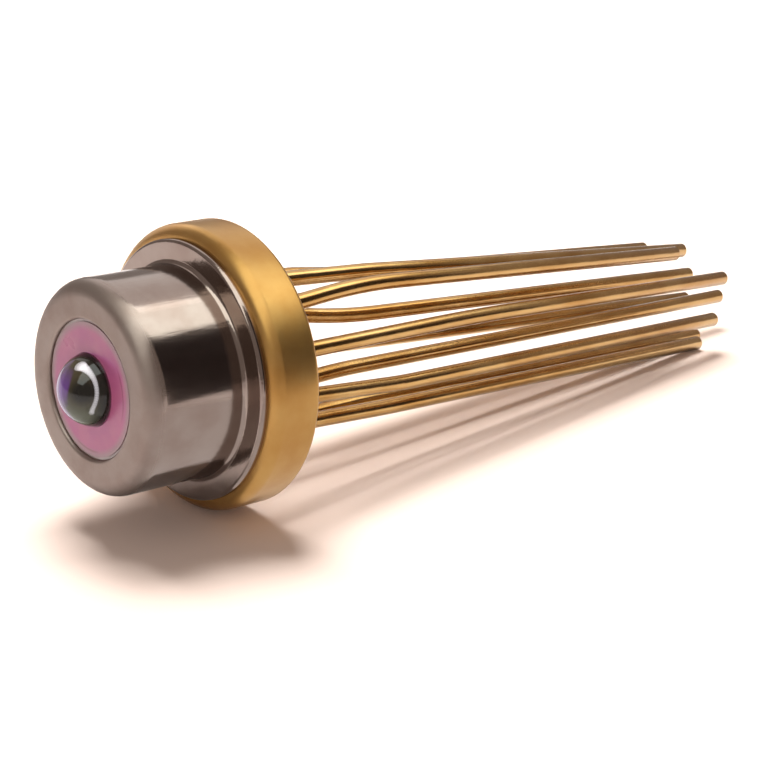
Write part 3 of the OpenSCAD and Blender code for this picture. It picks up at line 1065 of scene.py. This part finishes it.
class LASERDIODE_OT_stage(bpy.types.Operator):
    """Lay the floor, set the lights and the world, and place the camera"""

    bl_idname = "laserdiode.stage"
    bl_label = "Stage"
    bl_options = {"REGISTER", "UNDO"}

    def execute(self, context):
        scene = context.scene
        s = scene.stage
        low = CAD_BOX[0].z - FLOOR_GAP
        self.floor(s, low)
        self.world(scene, s)
        self.soft_boxes(scene)
        self.cards(low)
        self.dome_lights(scene)
        self.camera(scene, s)
        return {"FINISHED"}

    def soft_boxes(self, scene):
        """The large lamps. The strips face straight down, and the others face the can."""
        gold = [o for o in scene.objects if o.name.startswith("stem")]
        rest = [o for o in scene.objects if o.type == "MESH" and o not in gold]
        made = {}
        for name, box in SOFT_BOXES.items():
            size = [v * MM for v in box["size"]]
            at = Vector(box["at"]) * MM
            towards = at - UP if name.endswith("strip") else CAN_AT
            made[name] = lamp(name, size, at, towards, box["level"], box["colour"])
        shine_on(made["top_strip"], rest)
        for name in ("gold_strip", "gold_near", "gold_side"):
            shine_on(made[name], gold)
        made["key_soft"].visible_glossy = False
        made["left_soft"].visible_diffuse = False

    def cards(self, low):
        """Two cards that only reflections show: a glowing one just above the floor, a painted
        reflection of lit floor where the floor lies in shadow, and a dark one.
        """
        # Painted reflection: a glowing card that reflections show in place of the shadowed floor
        at = Vector((8.5, -1.0, 0.02)) * MM + UP * low
        size = (14 * MM, 12 * MM)
        floor_glow = card("floor_glow_card", size, at, at + UP, (1.0, 0.95, 0.93), 1.02)
        floor_glow.visible_transmission = False
        at = Vector((18.0, 19.0, 9.6)) * MM
        size = (25 * MM, 36 * MM)
        card("dark_card", size, at, at - Vector((1, 0, 0)), (0.02, 0.015, 0.015))

    def dome_lights(self, scene):
        """Small lamps for the dome alone: a row that makes a curved light, and violet ones."""
        can, glass = scene.can, scene.glasswork
        a, h = glass.dome_d / 2, glass.dome_h
        ball = (a * a + h * h) / (2 * h)
        lay = placing()
        centre = lay @ Vector((0, 0, can.cap_h - glass.lens_sink + h - ball))
        turn = lay.to_3x3()
        towards = (Vector(CAMERA_AT) - centre).normalized()
        dome = bpy.data.objects["lens_dome"]

        def mirrored(name, polar, round_, size, level, colour):
            """A lamp that the camera sees in the dome, at angles from its pole and round it."""
            polar, round_ = math.radians(polar), math.radians(round_)
            ring = Vector((math.cos(round_), math.sin(round_), 0)) * math.sin(polar)
            normal = turn @ (ring + Vector((0, 0, math.cos(polar))))
            way = 2 * normal.dot(towards) * normal - towards
            spot = centre + normal * ball
            made = lamp(name, size, spot + way * DOME_REACH, spot, level, colour)
            made.data.shape = "ELLIPSE"
            shine_on(made, [dome])

        for i in range(ARC_LAMPS):
            part = i / (ARC_LAMPS - 1)
            wide = (0.64 + 0.8 * (1 - part) ** 4) * MM
            polar = 54 + 7 * math.sin(math.pi * min(1, part * 1.1))
            round_ = 76 - 102 * part
            level = 6.4 - 2.2 * part
            mirrored(f"arc_{i}", polar, round_, (wide, wide), level, (1, 0.95, 1))
        for i in range(VIOLET_LAMPS):
            wide = (0.8 + 0.42 * i) * MM
            size = (wide, 1.6 * wide)
            mirrored(f"violet_{i}", 16, 66 + 6 * i, size, 0.40, (0.42, 0.05, 1.0))
        size = (3.6 * MM, 4.6 * MM)
        mirrored("violet_edge", 24, 150, size, 0.6, (0.70, 0.40, 1.0))

    def floor(self, s, low):
        bm = bmesh.new()
        bmesh.ops.create_circle(bm, cap_ends=True, segments=96, radius=FLOOR_R)
        mesh = bpy.data.meshes.new("floor")
        bm.to_mesh(mesh)
        bm.free()
        mesh.transform(Matrix.Translation((0, 0, low)))
        made = bpy.data.objects.new("floor", mesh)
        bpy.context.scene.collection.objects.link(made)
        mesh.materials.append(floor_pale(s.floor_tint, s.floor_seen))

    def world(self, scene, s):
        world = bpy.data.worlds.new("studio")
        scene.world = world
        world.use_nodes = True
        tree = world.node_tree
        tree.nodes.clear()
        new, link = tree.nodes.new, tree.links.new
        out, glow = new("ShaderNodeOutputWorld"), new("ShaderNodeBackground")
        glow.inputs["Color"].default_value = (*s.world_tone, 1.0)
        glow.inputs["Strength"].default_value = s.world_level
        link(glow.outputs[0], out.inputs[0])

    def camera(self, scene, s):
        data = bpy.data.cameras.new("camera")
        data.lens = s.lens_mm
        data.sensor_width = 36.0
        data.clip_start, data.clip_end = 0.001, 10.0
        made = bpy.data.objects.new("camera", data)
        scene.collection.objects.link(made)
        made.location = CAMERA_AT
        made.rotation_euler = CAMERA_TURN
        scene.camera = made
        scene.view_settings.view_transform = "Standard"


class LASERDIODE_PT_panel(bpy.types.Panel):
    """Lists the operators and sizes of the laser diode"""

    bl_idname = "LASERDIODE_PT_panel"
    bl_label = "Laser Diode"
    bl_space_type = "VIEW_3D"
    bl_region_type = "UI"
    bl_category = "Laser Diode"

    def draw(self, context):
        for operator in OPERATORS:
            self.layout.operator(operator.bl_idname)
        for name, group in SETTINGS:
            box = self.layout.box()
            box.label(text=group.__doc__)
            for key in group.__annotations__:
                box.prop(getattr(context.scene, name), key)


OPERATORS = (
    LASERDIODE_OT_stem,
    LASERDIODE_OT_cap,
    LASERDIODE_OT_lens,
    LASERDIODE_OT_leads,
    LASERDIODE_OT_beads,
    LASERDIODE_OT_inside,
    LASERDIODE_OT_stage,
)


def register():
    for _, group in SETTINGS:
        bpy.utils.register_class(group)
    for operator in OPERATORS:
        bpy.utils.register_class(operator)
    bpy.utils.register_class(LASERDIODE_PT_panel)
    for name, group in SETTINGS:
        setattr(bpy.types.Scene, name, PointerProperty(type=group))


def unregister():
    for name, _ in SETTINGS:
        delattr(bpy.types.Scene, name)
    bpy.utils.unregister_class(LASERDIODE_PT_panel)
    for operator in reversed(OPERATORS):
        bpy.utils.unregister_class(operator)
    for _, group in reversed(SETTINGS):
        bpy.utils.unregister_class(group)


def main():
    register()
    for name in ("stem", "cap", "lens", "leads", "beads", "inside", "stage"):
        getattr(bpy.ops.laserdiode, name)()


if __name__ == "__main__":
    main()
